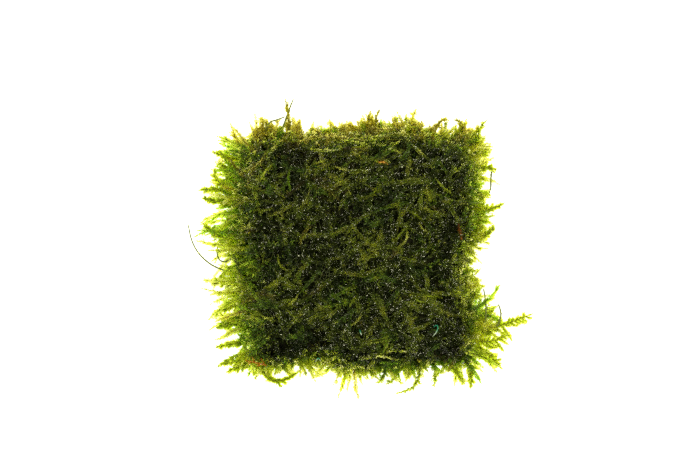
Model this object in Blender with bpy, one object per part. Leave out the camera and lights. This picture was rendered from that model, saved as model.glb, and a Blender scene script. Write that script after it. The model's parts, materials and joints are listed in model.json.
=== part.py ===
"""A square mat of aquarium moss, grown through a pad and lifted off it, with the loose shoots that stand out of it.

The mat is one tangled mass with a flat underside, an uneven outline and a low lumpy top. Every shoot that leaves
the mat is a tapered strand of its own. Distances are in metres; the origin is the middle of the mat's underside.
"""

import math

import bmesh
import bpy
from mathutils import Vector, noise
from mathutils.bvhtree import BVHTree

MM = 0.001

# The mat
MAT_TOP = 10.5 * MM  # height of the middle of the mat
RIM_TOP = 4.2 * MM  # height where the top meets the outline
RIM_NOSE = 2.4 * MM  # height at which the rim stands out furthest
RIM_TUCK = 0.7 * MM  # how far the rim is drawn in above and below its nose
SHOULDER_POWER = 7  # how late the flat top starts to fall towards the rim
LUMP_SIZE = 9 * MM
LUMP_HEIGHT = 1.3 * MM
RIM_STEPS = 3  # facets between two outline points
RINGS = (0.14, 0.29, 0.44, 0.58, 0.7, 0.8, 0.88, 0.94)  # shares of the way out to the rim

# The mat's outline, one point for each bay and each bulge of the edge, anticlockwise from the lower left corner
MAT_OUTLINE = (
    (-37.5, -35.0), (-33.0, -38.0), (-27.0, -39.5), (-20.0, -38.8), (-13.0, -37.0), (-7.5, -39.5),
    (0.0, -40.8), (9.0, -40.2), (18.0, -39.4), (27.0, -39.2), (36.5, -38.2), (40.0, -33.0),
    (41.0, -26.0), (40.6, -19.0), (39.0, -13.0), (38.0, -7.0), (38.6, -2.0), (41.2, 4.0),
    (41.6, 11.0), (40.4, 18.0), (41.4, 25.0), (39.8, 31.0), (38.4, 37.2), (31.0, 39.2),
    (24.0, 39.8), (17.0, 42.2), (9.0, 41.0), (0.0, 40.8), (-10.0, 39.8), (-20.0, 40.2),
    (-30.0, 39.8), (-38.0, 37.0), (-41.0, 30.5), (-41.2, 24.0), (-43.0, 17.0), (-43.4, 10.0),
    (-42.0, 2.0), (-40.8, -6.0), (-41.0, -13.0), (-40.2, -21.0), (-38.8, -28.5),
)

# The loose shoots
CLEARANCE = 0.35 * MM  # the gap left between two pieces that lie against each other
ROUTE_STEPS = 60  # places looked at along a route, to find where it is clear of the other pieces
STRAND_RINGS = 8
STRAND_SIDES = 6
BASE_SHARE = 0.3  # width of a shoot's base, as a share of its middle
ARCH = 0.9 * MM  # how far a shoot bows up between its two ends

# Kind of shoot: half width and half thickness in the middle, and the material
STRANDS = {
    "feather": (2.0 * MM, 0.45 * MM, "fresh_frond"),
    "frond": (1.1 * MM, 0.40 * MM, "fresh_frond"),
    "sprig": (0.7 * MM, 0.40 * MM, "fresh_frond"),
    "stem": (0.35 * MM, 0.30 * MM, "brown_stem"),
    "dead": (0.9 * MM, 0.40 * MM, "dead_leaf"),
    "thread": (0.22 * MM, 0.22 * MM, "green_thread"),
}

# Shoots that stand out of the edge: kind, height of the base and of the tip, and the route from base to tip,
# all in millimetres
EDGE_SHOOTS = {
    "top_forked_sprig": ("sprig", 3.6, 3.0, [(-22.0, 39.0), (-22.2, 42.5), (-22.6, 45.3), (-23.3, 48.8)]),
    "top_forked_sprig_branch": ("stem", 3.8, 3.2, [(-22.5, 44.2), (-21.9, 46.2), (-20.8, 49.0)]),
    "top_left_bowed_stem": ("stem", 3.0, 3.4, [(-29.8, 39.0), (-28.6, 41.7), (-26.2, 42.3), (-23.6, 43.4)]),
    "top_left_sprig": ("sprig", 3.4, 2.6, [(-31.0, 38.8), (-30.8, 41.4), (-31.0, 43.2)]),
    "top_middle_left_sprig": ("sprig", 3.4, 2.8, [(3.2, 40.0), (3.9, 43.0), (4.4, 45.2)]),
    "top_middle_right_sprig": ("sprig", 3.2, 2.8, [(6.0, 40.0), (6.2, 43.2), (7.3, 45.6)]),
    "top_curled_sprig": ("sprig", 3.0, 2.4, [(24.0, 39.0), (26.6, 41.0), (28.0, 42.7), (29.5, 42.4)]),
    "top_right_sprig": ("sprig", 3.2, 2.2, [(35.0, 37.0), (34.4, 39.8), (33.4, 41.9), (31.9, 42.4)]),
    "corner_long_sprig": ("sprig", 3.2, 2.4, [(38.4, 34.0), (39.5, 37.6), (40.6, 40.6), (42.4, 42.5)]),
    "right_upper_frond": ("frond", 2.8, 1.6, [(38.8, 31.8), (41.2, 31.6), (43.5, 32.5)]),
    "right_square_frond": ("frond", 3.0, 2.2, [(40.0, 26.2), (43.0, 26.9), (45.1, 26.2)]),
    "right_hanging_stem": ("stem", 2.4, 1.4, [(43.9, 25.6), (43.5, 22.6), (43.7, 20.2), (42.8, 18.0)]),
    "right_middle_frond": ("frond", 3.0, 1.6, [(40.4, 12.8), (43.5, 13.5), (46.0, 14.2), (47.9, 15.3)]),
    "right_small_frond": ("sprig", 2.8, 1.8, [(40.5, 4.4), (43.0, 5.8), (44.8, 7.5)]),
    "right_ragged_frond": ("frond", 3.0, 2.2, [(39.6, -21.4), (42.8, -20.6), (44.9, -18.6)]),
    "feather_frond": ("feather", 3.0, 1.6, [(40.6, -25.2), (46.0, -24.9), (51.0, -23.2), (57.3, -20.8)]),
    "lower_feather_frond": ("frond", 2.6, 1.6, [(40.4, -29.8), (44.4, -29.6), (47.4, -28.6), (49.7, -26.9)]),
    "inner_upright_stem": ("stem", 4.6, 4.0, [(41.6, -24.0), (42.0, -19.5), (41.7, -15.8), (41.2, -12.7)]),
    "outer_upright_stem": ("stem", 4.4, 3.4, [(45.4, -24.8), (46.7, -22.3), (46.8, -19.9), (46.1, -17.8)]),
    "lower_right_frond": ("frond", 2.4, 1.2, [(39.8, -32.2), (43.0, -33.8), (44.8, -36.0), (47.1, -38.5)]),
    "corner_drooping_frond": ("frond", 2.6, 1.2, [(36.4, -37.6), (37.3, -41.2), (36.9, -45.0)]),
    "bottom_right_frond": ("frond", 2.6, 1.4, [(31.4, -38.0), (33.2, -41.0), (35.0, -43.6)]),
    "bottom_comb_sprig": ("sprig", 2.8, 1.4, [(25.2, -38.4), (25.4, -41.4), (25.2, -44.5)]),
    "bottom_long_sprig": ("sprig", 2.8, 1.4, [(20.3, -38.4), (19.9, -42.2), (18.0, -45.2), (13.1, -46.7)]),
    "bottom_hanging_sprig": ("sprig", 2.6, 1.2, [(13.6, -39.4), (12.0, -42.0), (9.8, -43.7)]),
    "bottom_middle_sprig": ("sprig", 2.4, 1.2, [(9.4, -39.4), (8.4, -42.0), (6.5, -43.3)]),
    "bottom_left_bowed_stem": ("stem", 2.4, 2.2, [(-31.5, -38.4), (-28.6, -42.0), (-24.8, -43.1), (-19.2, -39.9)]),
    "low_left_upper_frond": ("frond", 3.2, 1.8, [(-36.6, -35.6), (-40.0, -36.3), (-44.2, -37.4)]),
    "low_left_lower_frond": ("frond", 2.2, 1.2, [(-36.2, -36.4), (-39.2, -38.3), (-42.6, -39.9)]),
    "left_frond_1": ("frond", 2.8, 1.4, [(-38.0, -30.2), (-42.0, -30.8), (-45.9, -31.8)]),
    "left_frond_2": ("frond", 2.8, 1.4, [(-38.8, -23.8), (-42.6, -24.4), (-45.9, -25.2)]),
    "left_frond_3": ("frond", 3.0, 1.4, [(-39.4, -17.9), (-43.2, -19.2), (-47.1, -21.3)]),
    "left_frond_4": ("frond", 2.6, 1.2, [(-39.6, -9.4), (-43.6, -9.9), (-47.4, -11.0)]),
    "left_arching_stem": ("stem", 3.0, 1.6, [(-40.2, -7.2), (-46.4, -6.0), (-51.4, -1.8), (-54.2, 3.0), (-55.0, 8.0)]),
    "left_looped_stem": ("stem", 3.0, 2.4, [(-40.4, -2.2), (-43.2, -4.3), (-45.3, -3.2), (-45.8, 0.0), (-45.2, 1.8)]),
    "left_frond_5": ("frond", 2.8, 1.4, [(-41.2, 3.0), (-45.4, 4.8), (-50.4, 8.7)]),
    "left_frond_6": ("sprig", 2.6, 1.4, [(-42.4, 15.4), (-46.4, 15.9), (-50.4, 16.9)]),
    "left_frond_7": ("sprig", 3.2, 2.4, [(-42.0, 18.6), (-46.0, 19.9), (-51.4, 19.4)]),
    "left_frond_8": ("sprig", 2.6, 1.6, [(-40.6, 21.6), (-45.2, 22.0), (-46.6, 24.2), (-46.2, 26.4)]),
    "left_frond_9": ("frond", 2.8, 1.6, [(-40.4, 25.8), (-43.2, 27.0), (-45.2, 28.6)]),
    "left_frond_10": ("sprig", 2.8, 1.6, [(-39.8, 29.8), (-43.4, 30.6), (-47.0, 32.1)]),
}

# Pieces that lie on top of the mat: kind, height above the moss, and the route from one end to the other,
# all in millimetres
TOP_PIECES = {
    "dead_sprig": ("dead", 0.9, [(-29.4, -37.4), (-32.6, -36.6), (-36.2, -35.9)]),
    "orange_sprig": ("dead", 0.9, [(10.0, 27.7), (8.6, 28.3), (7.0, 28.5)]),
    "red_stem": ("stem", 0.8, [(32.8, 8.6), (33.2, 6.0), (33.9, 3.4)]),
    "thread_hook": ("thread", 0.7, [(24.7, -24.8), (25.7, -24.2), (26.1, -25.1), (25.5, -26.6), (24.3, -28.0)]),
    "thread_end": ("thread", 0.6, [(0.8, -25.6), (1.1, -26.6), (1.5, -27.5)]),
    "thread_edge_loop": ("thread", 0.6, [(-13.4, -35.9), (-12.6, -35.1), (-11.8, -35.9)]),
}

MATERIALS = {
    "moss_mat": ((0.025, 0.035, 0.006), 0.45),
    "fresh_frond": ((0.30, 0.38, 0.03), 0.45),
    "brown_stem": ((0.16, 0.12, 0.03), 0.5),
    "dead_leaf": ((0.45, 0.14, 0.02), 0.6),
    "green_thread": ((0.05, 0.30, 0.16), 0.25),
}


def clear_scene():
    for item in list(bpy.data.objects):
        bpy.data.objects.remove(item, do_unlink=True)


def make_materials():
    made = {}
    for name, (color, roughness) in MATERIALS.items():
        material = bpy.data.materials.new(name)
        material.use_nodes = True
        shader = material.node_tree.nodes["Principled BSDF"]
        shader.inputs["Base Color"].default_value = (*color, 1)
        shader.inputs["Roughness"].default_value = roughness
        shader.inputs["Metallic"].default_value = 0
        material.diffuse_color = (*color, 1)
        made[name] = material
    return made


def add_object(name, shape, material):
    """The finished bmesh as an object of the scene, with its faces turned outwards."""
    bmesh.ops.recalc_face_normals(shape, faces=shape.faces)
    mesh = bpy.data.meshes.new(name)
    shape.to_mesh(mesh)
    shape.free()
    mesh.shade_smooth()
    mesh.materials.append(material)
    item = bpy.data.objects.new(name, mesh)
    bpy.context.scene.collection.objects.link(item)
    return item


def smooth_point(before, start, end, after, share):
    """A point of the Catmull-Rom curve between start and end."""
    pull = (end - before) * share
    bend = (before * 2 - start * 5 + end * 4 - after) * share ** 2
    twist = (start * 3 - before - end * 3 + after) * share ** 3
    return start + (pull + bend + twist) / 2


def closed_curve(points, steps):
    count = len(points)
    curve = []
    for i in range(count):
        around = [points[(i + k) % count] for k in (-1, 0, 1, 2)]
        curve += [smooth_point(*around, step / steps) for step in range(steps)]
    return curve


def open_curve(points, steps):
    """steps + 1 points along a smooth curve through the given ones, evenly spread over its stretches."""
    ends = [points[0] * 2 - points[1]] + points + [points[-1] * 2 - points[-2]]
    stretches = len(points) - 1
    curve = []
    for i in range(steps + 1):
        place = i * stretches / steps
        stretch = min(int(place), stretches - 1)
        curve.append(smooth_point(*ends[stretch:stretch + 4], place - stretch))
    return curve


def add_ring(shape, points):
    return [shape.verts.new(point) for point in points]


def bridge(shape, inner, outer):
    count = len(inner)
    for i in range(count):
        j = (i + 1) % count
        shape.faces.new((inner[i], inner[j], outer[j], outer[i]))


def mat_height(place, share):
    """Height of the mat's top above the plan point, share being how far out towards the rim it is."""
    flat = 1 - share ** SHOULDER_POWER
    lump = noise.noise(place / LUMP_SIZE) * LUMP_HEIGHT
    return RIM_TOP + (MAT_TOP - RIM_TOP) * flat + lump * flat


def make_mat(material):
    outline = closed_curve([Vector((x, y, 0)) * MM for x, y in MAT_OUTLINE], RIM_STEPS)
    shape = bmesh.new()
    middle = shape.verts.new((0, 0, mat_height(Vector(), 0)))
    rings = []
    for share in RINGS:
        places = [point * share for point in outline]
        rings.append(add_ring(shape, [(p.x, p.y, mat_height(p, share)) for p in places]))
    for inset, height in ((RIM_TUCK, RIM_TOP), (0, RIM_NOSE), (RIM_TUCK, 0)):
        places = [point - point.normalized() * inset for point in outline]
        rings.append(add_ring(shape, [(p.x, p.y, height) for p in places]))
    for i in range(len(outline)):
        shape.faces.new((middle, rings[0][i], rings[0][(i + 1) % len(outline)]))
    for inner, outer in zip(rings, rings[1:]):
        bridge(shape, inner, outer)
    shape.faces.new(rings[-1])
    return add_object("moss_mat", shape, material)


def surface_of(item):
    """The object's surface, to measure distances from."""
    mesh = item.data
    corners = [vertex.co.copy() for vertex in mesh.vertices]
    return BVHTree.FromPolygons(corners, [list(face.vertices) for face in mesh.polygons])


def clear_stretch(route, room, surfaces):
    """The end of the route that stays at least room away from every surface."""
    first = 0
    for i, point in enumerate(route[:-2]):
        if any(surface.find_nearest(point, room)[0] for surface in surfaces):
            first = i + 1
    return route[first:]


def strand_profile(share):
    """Width of a strand as a share of its widest: a narrow base, a full middle and a fine tip."""
    return BASE_SHARE + (1 - BASE_SHARE) * math.sin(math.pi * share ** 0.8)


def make_strand(name, kind, route, materials):
    """A flattened tapered tube along the route."""
    half_width, half_thickness, material = STRANDS[kind]
    shape = bmesh.new()
    rings = []
    for i in range(STRAND_RINGS):
        place = i * (len(route) - 1) / STRAND_RINGS
        at = int(place)
        centre = route[at].lerp(route[at + 1], place - at)
        along = (route[min(at + 2, len(route) - 1)] - route[max(at - 1, 0)]).normalized()
        across = along.cross(Vector((0, 0, 1))).normalized()
        up = across.cross(along)
        size = strand_profile(i / STRAND_RINGS)
        ring = []
        for side in range(STRAND_SIDES):
            angle = 2 * math.pi * side / STRAND_SIDES
            sideways = across * math.cos(angle) * half_width * size
            ring.append(centre + sideways + up * math.sin(angle) * half_thickness * size)
        rings.append(add_ring(shape, ring))
    tip = shape.verts.new(route[-1])
    shape.faces.new(rings[0])
    for inner, outer in zip(rings, rings[1:]):
        bridge(shape, inner, outer)
    for i in range(STRAND_SIDES):
        shape.faces.new((rings[-1][i], rings[-1][(i + 1) % STRAND_SIDES], tip))
    return add_object(name, shape, materials[material])


def make_edge_shoots(mat_surface, materials):
    surfaces = [mat_surface]
    for name, (kind, base_height, tip_height, plan) in EDGE_SHOOTS.items():
        curve = open_curve([Vector((x, y, 0)) * MM for x, y in plan], ROUTE_STEPS)
        route = []
        for i, point in enumerate(curve):
            share = i / ROUTE_STEPS
            level = (base_height + (tip_height - base_height) * share) * MM
            route.append(point + Vector((0, 0, level + ARCH * math.sin(math.pi * share))))
        base_room = STRANDS[kind][0] * BASE_SHARE + CLEARANCE
        route = clear_stretch(route, base_room, surfaces)
        surfaces.append(surface_of(make_strand(name, kind, route, materials)))


def make_top_pieces(mat_surface, materials):
    down = Vector((0, 0, -1))
    for name, (kind, lift, plan) in TOP_PIECES.items():
        curve = open_curve([Vector((x, y, 2 * (MAT_TOP / MM))) * MM for x, y in plan], STRAND_RINGS * 2)
        tops = [mat_surface.ray_cast(point, down)[0].z for point in curve]
        level = max(tops) + lift * MM
        route = [Vector((point.x, point.y, (top + lift * MM + level) / 2)) for point, top in zip(curve, tops)]
        make_strand(name, kind, route, materials)


def main():
    clear_scene()
    materials = make_materials()
    mat_surface = surface_of(make_mat(materials["moss_mat"]))
    make_edge_shoots(mat_surface, materials)
    make_top_pieces(mat_surface, materials)


main()
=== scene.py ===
"""The looks of the moss mat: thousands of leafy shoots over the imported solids, on a pale lit table.

Every shoot is a thin stem with small folded leaves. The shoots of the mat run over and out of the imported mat
solid, and each loose shoot grows along the middle of its own packed strand. Distances are in metres, apart
from the named sizes of leaves, shoots and edges, which are in millimetres. The named angles of leaves and
side shoots are in degrees, and all others in radians.
"""

import json
import math

import bpy
import numpy as np
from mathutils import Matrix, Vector
from mathutils.bvhtree import BVHTree


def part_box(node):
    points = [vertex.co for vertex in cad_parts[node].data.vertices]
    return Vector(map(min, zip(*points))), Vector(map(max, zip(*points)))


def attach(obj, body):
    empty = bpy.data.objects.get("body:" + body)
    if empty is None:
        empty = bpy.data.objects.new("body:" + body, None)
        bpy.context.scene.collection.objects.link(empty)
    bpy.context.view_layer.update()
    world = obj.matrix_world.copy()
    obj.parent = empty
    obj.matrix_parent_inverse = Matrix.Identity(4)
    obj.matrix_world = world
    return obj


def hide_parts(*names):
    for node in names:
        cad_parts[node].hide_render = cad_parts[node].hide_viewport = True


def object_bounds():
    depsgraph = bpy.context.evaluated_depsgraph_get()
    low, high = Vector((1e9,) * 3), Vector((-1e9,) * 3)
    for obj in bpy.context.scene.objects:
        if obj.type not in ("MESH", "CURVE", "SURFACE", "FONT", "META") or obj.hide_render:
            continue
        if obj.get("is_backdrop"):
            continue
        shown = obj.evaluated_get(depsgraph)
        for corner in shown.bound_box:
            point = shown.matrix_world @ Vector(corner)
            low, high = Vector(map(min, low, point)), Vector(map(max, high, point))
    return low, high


MM = 0.001
UP = np.array((0.0, 0.0, 1.0))
FLOOR_GAP = 0.05 * MM  # the lowest that any leaf hangs
LEAF_BAND = 0.8  # share of the colour map's height that the leaves use; the stems use the rest
MAP_MARGIN = 0.02  # of the colour map's width, on either side of the tones
LEAF_FACES = np.array([(0, 1, 3), (0, 3, 2), (1, 4, 3), (3, 4, 2)])  # of base, two sides, rib and tip
LEAF_WAY = np.array((0, 0.45, 0.45, 0.5, 1.0))  # how far out on the leaf each of its corners counts as
LEAF_WIDEST = 0.4  # where along its length a leaf is widest
LEAF_FOLD = 0.28  # how far a leaf's sides rise from its rib, as a share of its half width
LEAF_CURL = 0.12  # how far its tip bends down, as a share of its length
TWO_RANKS = 180
SPIRAL = 137.5

# length, width: of a leaf; pitch: the length of stem to each leaf; angle: between leaf and stem; turn: how
# far round the stem the next leaf sits; lift: how far the leaves rise out of the shoot's plane; stem: its
# radius; taper: how much of it is gone at the tip; mottle, vary: how much the leaves and the shoots differ
# in tone
LEAF_COLUMNS = ("length", "width", "pitch", "angle", "turn", "lift", "stem", "taper", "mottle", "vary")
LEAF_ROWS = {
    "tangle":  (1.25, 0.56, 0.42, 50, TWO_RANKS, 14, 0.14, 0.7, 0.40, 0.55),
    "comb":    (1.15, 0.50, 0.30, 40, TWO_RANKS, 10, 0.13, 0.6, 0.30, 0.70),
    "ridge":   (1.05, 0.48, 0.17, 32, SPIRAL,    0,  0.16, 0.6, 0.15, 0.30),
    "upright": (1.15, 0.60, 0.36, 58, SPIRAL,    0,  0.12, 0.7, 0.42, 0.55),
    "fringe":  (1.5,  0.66, 0.26, 35, TWO_RANKS, 6,  0.16, 0.6, 0.10, 0.38),
    "under":   (1.7,  0.85, 0.32, 45, TWO_RANKS, 6,  0.15, 0.6, 0.15, 0.3),
    "frond":   (1.3,  0.60, 0.13, 42, TWO_RANKS, 6,  0.20, 0.6, 0.15, 0.12),
    "sprig":   (1.6,  0.65, 0.14, 40, SPIRAL,    0,  0.22, 0.5, 0.15, 0.1),
    "stem":    (1.1,  0.42, 0.4,  30, SPIRAL,    0,  0.32, 0.3, 0.1,  0),
    "dead":    (1.2,  0.42, 0.22, 38, SPIRAL,    0,  0.19, 0.5, 0.5,  0.1),
}
LEAVES = {name: dict(zip(LEAF_COLUMNS, row)) for name, row in LEAF_ROWS.items()}
BARE = dict(stem=0.13, taper=0.3)  # stems without leaves

# How unevenly leaves grow: the spread of their place on the stem, as a share of the pitch, of their turn
# round it and of their roll, in radians, and of their angle, in degrees; and the range of their size
UNEVEN = dict(place=0.15, turn=0.25, roll=0.4, angle=8, size=(0.8, 1.2))


def add_object(name, data):
    made = bpy.data.objects.new(name, data)
    bpy.context.scene.collection.objects.link(made)
    return made


def smooth_step(low, high, value):
    """Smoothly from 0 at the low value to 1 at the high one."""
    share = np.clip((value - low) / (high - low), 0, 1)
    return share * share * (3 - 2 * share)


def map_width(tone):
    """Where a tone from 0 to 1 lies across the colour map."""
    return MAP_MARGIN + (1 - 2 * MAP_MARGIN) * tone


def unit(vectors):
    return vectors / np.maximum(np.linalg.norm(vectors, axis=-1, keepdims=True), 1e-12)


def ripples(places, size, rng, waves=7):
    """A smooth random pattern from about -1 to 1 over the plan, with patches of about the given size."""
    angles = rng.uniform(0, 2 * math.pi, waves)
    phases = rng.uniform(0, 2 * math.pi, waves)
    pitches = size * rng.uniform(1.2, 2.6, waves)
    pattern = 0
    for angle, phase, pitch in zip(angles, phases, pitches):
        along = places[..., 0] * math.cos(angle) + places[..., 1] * math.sin(angle)
        pattern = pattern + np.sin(2 * math.pi * along / pitch + phase)
    return pattern / math.sqrt(waves)


class Ground:
    """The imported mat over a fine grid: its height, and how far each place is inside its edge."""

    STEP = 0.5 * MM
    MARGIN = 20 * MM
    EDGE_HEIGHT = 3.2 * MM  # the least height that shoots lie at over the mat
    FALL = 0.4  # how steeply they fall away past its edge
    TABLE_HEIGHT = 0.9 * MM  # the height that they lie at on the table

    def __init__(self, node):
        corners = [vertex.co.copy() for vertex in node.data.vertices]
        faces = [list(face.vertices) for face in node.data.polygons]
        tree = BVHTree.FromPolygons(corners, faces)
        low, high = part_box(node.name)
        self.half = np.array((high.x - low.x, high.y - low.y)) / 2
        self.low = np.array((low.x, low.y)) - self.MARGIN
        counts = ((np.array((high.x, high.y)) + self.MARGIN - self.low) / self.STEP).astype(int) + 1
        self.xs = self.low[0] + self.STEP * np.arange(counts[0])
        self.ys = self.low[1] + self.STEP * np.arange(counts[1])
        self.outline = self.foot_of(corners)
        start = high.z + self.MARGIN
        down = Vector((0, 0, -1))
        self.height = np.zeros((len(self.ys), len(self.xs)))
        for row, y in enumerate(self.ys):
            for column, x in enumerate(self.xs):
                hit = tree.ray_cast(Vector((x, y, start)), down)[0]
                self.height[row, column] = hit.z if hit else 0
        self.inside = self.edge_distances()
        self.slope = np.stack(np.gradient(self.inside, self.STEP)[::-1], axis=-1)

    @staticmethod
    def foot_of(corners):
        """The outline of the mat where it stands, once round."""
        foot = np.array([corner[:2] for corner in corners if corner.z < 0.01 * MM])
        foot = np.unique(np.round(foot, 7), axis=0)
        return foot[np.argsort(np.arctan2(foot[:, 1], foot[:, 0]))]

    def edge_distances(self):
        """How far each place of the grid is within the outline, and below zero past it."""
        places = np.stack(np.meshgrid(self.xs, self.ys), axis=-1)
        inside = np.full(places.shape[:2], np.inf)
        for start, end in zip(self.outline, np.roll(self.outline, -1, axis=0)):
            side = end - start
            offset = places - start
            share = np.clip((offset @ side) / (side @ side), 0, 1)
            gap = np.linalg.norm(offset - share[..., None] * side, axis=-1)
            turn = side[0] * offset[..., 1] - side[1] * offset[..., 0]
            inside = np.where(gap < np.abs(inside), np.copysign(gap, turn), inside)
        return inside

    def read(self, field, places):
        """The field's value at each place, blended between the grid's points."""
        at = (places[..., :2] - self.low) / self.STEP
        at = np.clip(at, 0, np.array((len(self.xs), len(self.ys))) - 1.001)
        cell = at.astype(int)
        share = at - cell
        x, y = cell[..., 0], cell[..., 1]
        fx, fy = share[..., 0], share[..., 1]
        if field.ndim == 3:
            fx, fy = fx[..., None], fy[..., None]
        lower = field[y, x] * (1 - fx) + field[y, x + 1] * fx
        upper = field[y + 1, x] * (1 - fx) + field[y + 1, x + 1] * fx
        return lower * (1 - fy) + upper * fy

    def inside_at(self, places):
        return self.read(self.inside, places)

    def outward_at(self, places):
        """The direction over the plan that leads out of the mat."""
        return -unit(self.read(self.slope, places))

    def surface_at(self, places):
        """The height that a shoot lies at: the mat's top, falling away to the table past the edge."""
        beyond = np.maximum(-self.inside_at(places), 0)
        past_edge = np.maximum(self.EDGE_HEIGHT - self.FALL * beyond, self.TABLE_HEIGHT)
        return np.maximum(self.read(self.height, places), past_edge)


def lengths_of(paths):
    """How long each path is."""
    return np.linalg.norm(np.diff(paths, axis=1), axis=-1).sum(1)


def points_on(paths, shares):
    """The point of each path at each share of its length, and the way the path runs there."""
    stretches = paths.shape[1] - 1
    at = np.clip(shares * stretches, 0, stretches - 1e-6)
    first = at.astype(int)
    part = (at - first)[..., None]
    rows = np.arange(len(paths))[:, None]
    ways = unit(np.gradient(paths, axis=1))
    points = paths[rows, first] * (1 - part) + paths[rows, first + 1] * part
    return points, unit(ways[rows, first] * (1 - part) + ways[rows, first + 1] * part)


def frames_on(ways, rolls):
    """The side and the upper direction of a shoot that runs along ways and is rolled about itself."""
    level = unit(np.cross(UP, ways))
    above = np.cross(ways, level)
    cosine, sine = np.cos(rolls)[..., None], np.sin(rolls)[..., None]
    return level * cosine + above * sine, above * cosine - level * sine


def turned(first, second, angle):
    """first turned by the angle towards second."""
    return first * np.cos(angle)[..., None] + second * np.sin(angle)[..., None]


def ring_corners(rings, sides):
    """The corners of rings, counted from the first ring on, and the corner beside each, once round."""
    here = np.arange(rings * sides).reshape(rings, sides)
    return here, np.roll(here, -1, axis=1)


def joined(*corners):
    """Triangles of three corners after three."""
    return np.stack(np.broadcast_arrays(*corners), axis=-1).reshape(-1, 3)


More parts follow.
